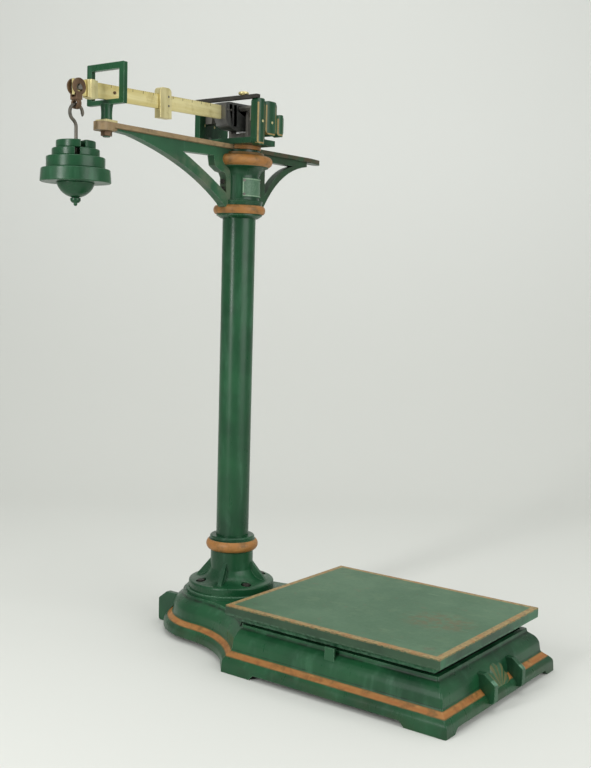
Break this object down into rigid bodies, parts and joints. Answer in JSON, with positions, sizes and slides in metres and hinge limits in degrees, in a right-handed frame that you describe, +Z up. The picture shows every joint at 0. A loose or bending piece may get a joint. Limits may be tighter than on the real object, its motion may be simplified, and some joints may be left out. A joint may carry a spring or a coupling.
{
  "type": "platform weighing scale",
  "caption": "Portable platform scale with a cast base, tall pillar, side arms and a brass steelyard with sliding poise, hook and slotted weights.",
  "frame": {"origin": "axis of the pillar at floor level", "axes": "+Z up, +X from the pillar to the front end of the base, the steelyard's tip and its weights hang at -Y"},
  "size_m": [0.755, 0.7314, 1.0466],
  "materials": {
    "base_paint": "old dark green oil paint, chipped and worn, with gilt bands",
    "platform_paint": "dull faded green paint with a gilt line, rubbed brown in the middle",
    "label_paint": "pale green paint, bare",
    "frame_iron": "dark oiled casting",
    "knife_steel": "ground steel, slightly tarnished",
    "weight_paint": "dark green gloss paint, rubbed pale on the rims",
    "dark_iron": "blackened iron, worn at the edges",
    "butt_iron": "grey iron with old paint",
    "bronze": "dark brown patina",
    "brass": "pale worn brass"
  },
  "bodies": {
    "base": {"base_casting": "base_paint", "base_bearings_front": "knife_steel", "base_bearings_rear": "knife_steel", "column_foot": "base_paint", "foot_bolts": "dark_iron", "column_tube": "base_paint", "capital": "base_paint", "blank_plate": "label_paint", "plate_rivets": "bronze", "left_bracket": "base_paint", "right_bracket": "base_paint", "bracket_bolts": "dark_iron", "trig_loop": "base_paint", "stem_block": "brass", "trig_nut": "bronze", "beam_stand": "base_paint", "stand_screws": "brass", "tie_bar": "dark_iron", "tie_knob": "brass", "fulcrum_bearings": "knife_steel"},
    "steelyard": {"beam_bar": "brass", "beam_butt": "butt_iron", "butt_rivets": "bronze", "fulcrum_knife": "knife_steel", "load_knife": "knife_steel", "tip_knife": "knife_steel", "beam_collar": "brass", "collar_pin": "bronze"},
    "poise": {"poise": "brass", "poise_screws": "knife_steel"},
    "shackle": {"shackle": "bronze"},
    "hanger": {"hanger_hook": "dark_iron", "hanger_cup": "weight_paint", "hanger_finial": "weight_paint"},
    "weight_1": {"weight_1": "weight_paint"},
    "weight_2": {"weight_2": "weight_paint"},
    "weight_3": {"weight_3": "weight_paint"},
    "weight_4": {"weight_4": "weight_paint"},
    "draw_rod": {"upper_stirrup": "knife_steel", "draw_rod": "knife_steel", "rod_nuts": "knife_steel", "lower_stirrup": "knife_steel"},
    "long_lever": {"long_lever": "frame_iron", "long_lever_fulcrum_knives": "knife_steel", "long_lever_load_knives": "knife_steel", "long_lever_nose_knife": "knife_steel", "long_lever_link_knife": "knife_steel"},
    "short_lever": {"short_lever": "frame_iron", "short_lever_fulcrum_knives": "knife_steel", "short_lever_load_knives": "knife_steel", "short_lever_nose_knife": "knife_steel"},
    "lever_link": {"lever_link": "knife_steel"},
    "platform_frame": {"platform_frame": "frame_iron", "platform_bearings": "knife_steel"},
    "platform_plate": {"platform_plate": "platform_paint"}
  },
  "joints": [
    {"name": "beam_tilt", "type": "hinge", "parent": "base", "child": "steelyard", "pos_m": [0, -0.022, 1.013], "axis": [-1, 0, 0], "range_deg": [0, 3.9]},
    {"name": "poise_travel", "type": "slide", "parent": "steelyard", "child": "poise", "axis": [0, 0.9997, 0.0262], "range_m": [-0.085, 0.12]},
    {"name": "shackle_swing", "type": "hinge", "parent": "steelyard", "child": "shackle", "pos_m": [0, -0.41786, 1.00263], "axis": [-1, 0, 0], "range_deg": [-8, 15]},
    {"name": "hook_swing", "type": "hinge", "parent": "shackle", "child": "hanger", "pos_m": [0, -0.41786, 0.97053], "axis": [0, 1, 0], "range_deg": [-12, 12]},
    {"name": "weight_1_off", "type": "slide", "parent": "hanger", "child": "weight_1", "axis": [-0.9397, 0.342, 0], "range_m": [0, 0.045]},
    {"name": "weight_2_off", "type": "slide", "parent": "hanger", "child": "weight_2", "axis": [-0.788, 0.6157, 0], "range_m": [0, 0.055]},
    {"name": "weight_3_off", "type": "slide", "parent": "hanger", "child": "weight_3", "axis": [0.6428, -0.766, 0], "range_m": [0, 0.065]},
    {"name": "weight_4_off", "type": "slide", "parent": "hanger", "child": "weight_4", "axis": [0.866, -0.5, 0], "range_m": [0, 0.075]},
    {"name": "rod_draw", "type": "slide", "parent": "base", "child": "draw_rod", "axis": [0, 0, 1], "range_m": [-0.0016, 0]},
    {"name": "long_lever_turn", "type": "hinge", "parent": "base", "child": "long_lever", "pos_m": [0.552, 0, 0.044], "axis": [0, 1, 0], "range_deg": [-0.17, 0]},
    {"name": "short_lever_turn", "type": "hinge", "parent": "base", "child": "short_lever", "pos_m": [0.172, 0, 0.021], "axis": [0, 1, 0], "range_deg": [0, 0.17]},
    {"name": "link_drop", "type": "slide", "parent": "base", "child": "lever_link", "axis": [0, 0, 1], "range_m": [-0.00056, 0]},
    {"name": "frame_drop", "type": "slide", "parent": "base", "child": "platform_frame", "axis": [0, 0, 1], "range_m": [-0.00011, 0]},
    {"name": "plate_lift", "type": "slide", "parent": "platform_frame", "child": "platform_plate", "axis": [0, 0, 1], "range_m": [0, 0.12]}
  ],
  "couplings": [
    {"joint": "rod_draw", "follows": "beam_tilt", "m_per_rad": -0.022},
    {"joint": "long_lever_turn", "follows": "beam_tilt", "ratio": -0.039855},
    {"joint": "short_lever_turn", "follows": "beam_tilt", "ratio": 0.039855},
    {"joint": "link_drop", "follows": "beam_tilt", "m_per_rad": -0.0075725},
    {"joint": "frame_drop", "follows": "beam_tilt", "m_per_rad": -0.0014348}
  ]
}
